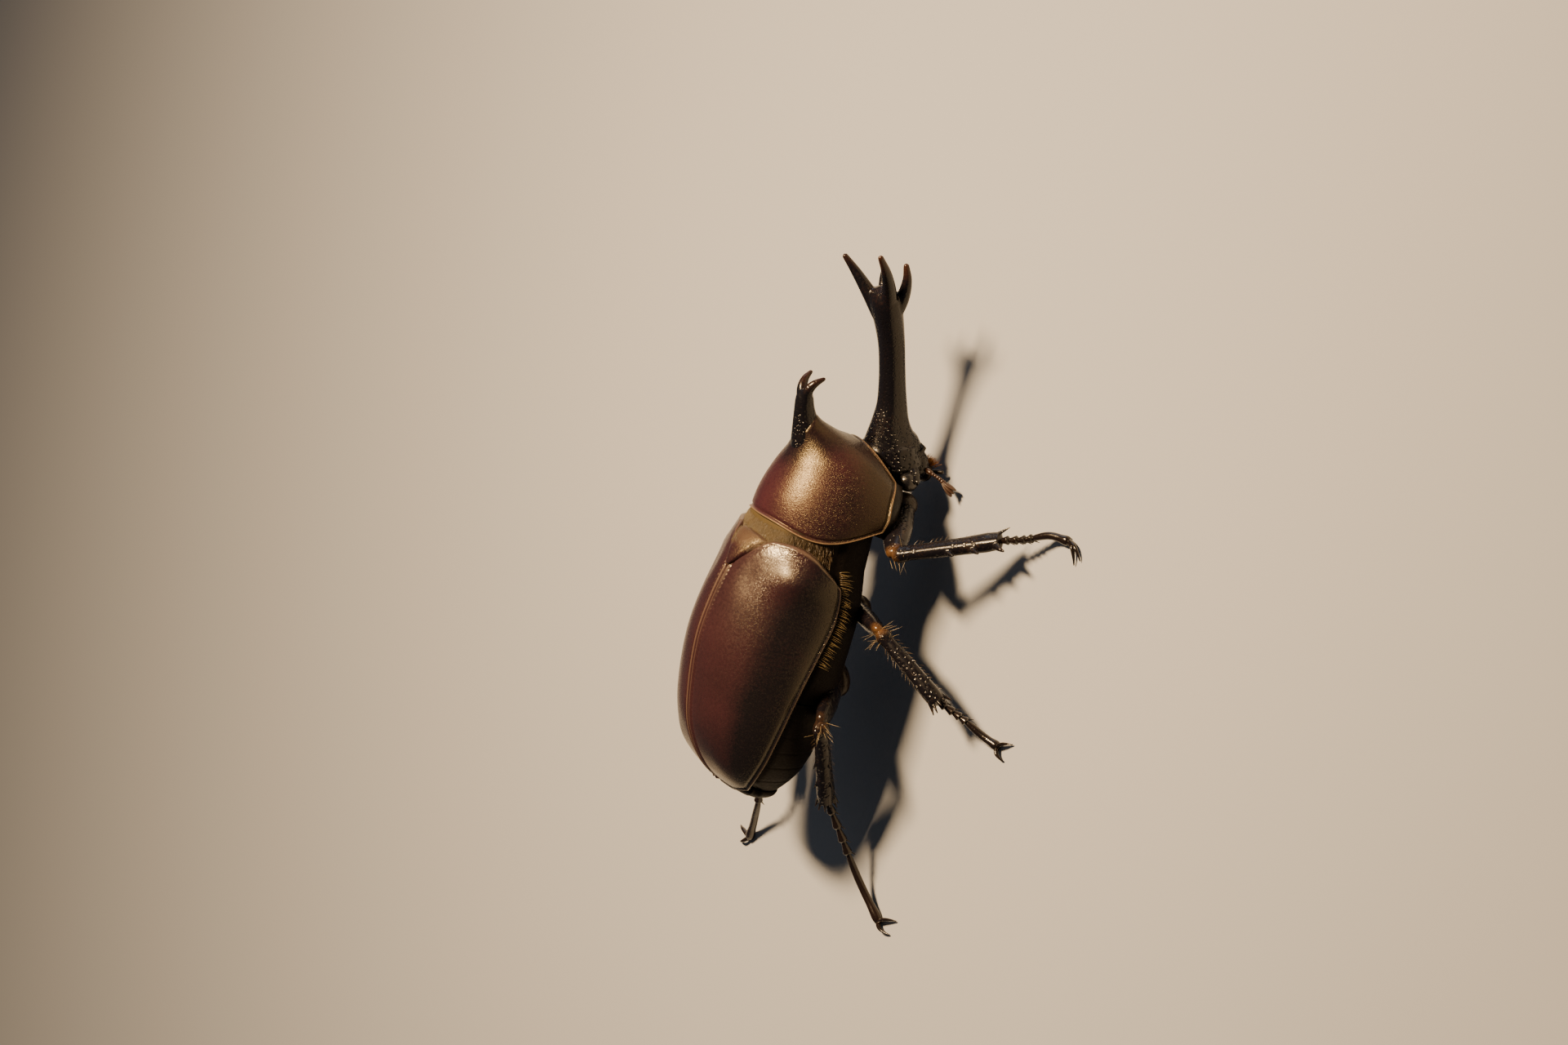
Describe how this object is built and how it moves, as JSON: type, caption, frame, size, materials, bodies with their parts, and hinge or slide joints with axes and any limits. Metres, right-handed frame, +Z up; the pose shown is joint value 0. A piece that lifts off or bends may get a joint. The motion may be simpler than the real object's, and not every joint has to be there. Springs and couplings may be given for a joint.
{
  "type": "male Japanese rhinoceros beetle model",
  "caption": "Still life-size model of a large horned male Japanese rhinoceros beetle standing on its legs with its head held low and its forked horn forward.",
  "frame": {"origin": "middle of the base of the box around the whole beetle, on the floor it stands on", "axes": "the beetle faces -Y, its right side is towards -X and +Z is up from the floor"},
  "size_m": [0.0802, 0.0976, 0.0316],
  "materials": {
    "elytra_mahogany": "warm mahogany shell with a satin gloss and a fine speckle",
    "pronotum_dark_brown": "dark brown shell, satin gloss",
    "horn_brown_black": "brown-black, finely pitted satin",
    "underside_brown": "dull brown plates",
    "leg_black": "glossy brown-black",
    "tarsus_black_brown": "polished brown-black",
    "eye_black": "glossy black",
    "antenna_brown": "reddish brown, satin"
  },
  "bodies": {
    "root": {"head": "horn_brown_black", "head_horn": "horn_brown_black", "eye_right": "eye_black", "eye_left": "eye_black", "antenna_right": "antenna_brown", "antenna_left": "antenna_brown", "mouthparts": "leg_black", "pronotum": "pronotum_dark_brown", "pronotal_horn": "horn_brown_black", "prosternum": "underside_brown", "scutellum": "pronotum_dark_brown", "elytron_right": "elytra_mahogany", "elytron_left": "elytra_mahogany", "pterothorax": "underside_brown", "abdomen": "underside_brown", "pygidium": "underside_brown", "coxa_fore_right": "leg_black", "femur_fore_right": "leg_black", "tibia_fore_right": "leg_black", "tarsus_fore_right": "tarsus_black_brown", "coxa_mid_right": "leg_black", "femur_mid_right": "leg_black", "tibia_mid_right": "leg_black", "tarsus_mid_right": "tarsus_black_brown", "coxa_hind_right": "leg_black", "femur_hind_right": "leg_black", "tibia_hind_right": "leg_black", "tarsus_hind_right": "tarsus_black_brown", "coxa_fore_left": "leg_black", "femur_fore_left": "leg_black", "tibia_fore_left": "leg_black", "tarsus_fore_left": "tarsus_black_brown", "coxa_mid_left": "leg_black", "femur_mid_left": "leg_black", "tibia_mid_left": "leg_black", "tarsus_mid_left": "tarsus_black_brown", "coxa_hind_left": "leg_black", "femur_hind_left": "leg_black", "tibia_hind_left": "leg_black", "tarsus_hind_left": "tarsus_black_brown"}
  },
  "joints": []
}
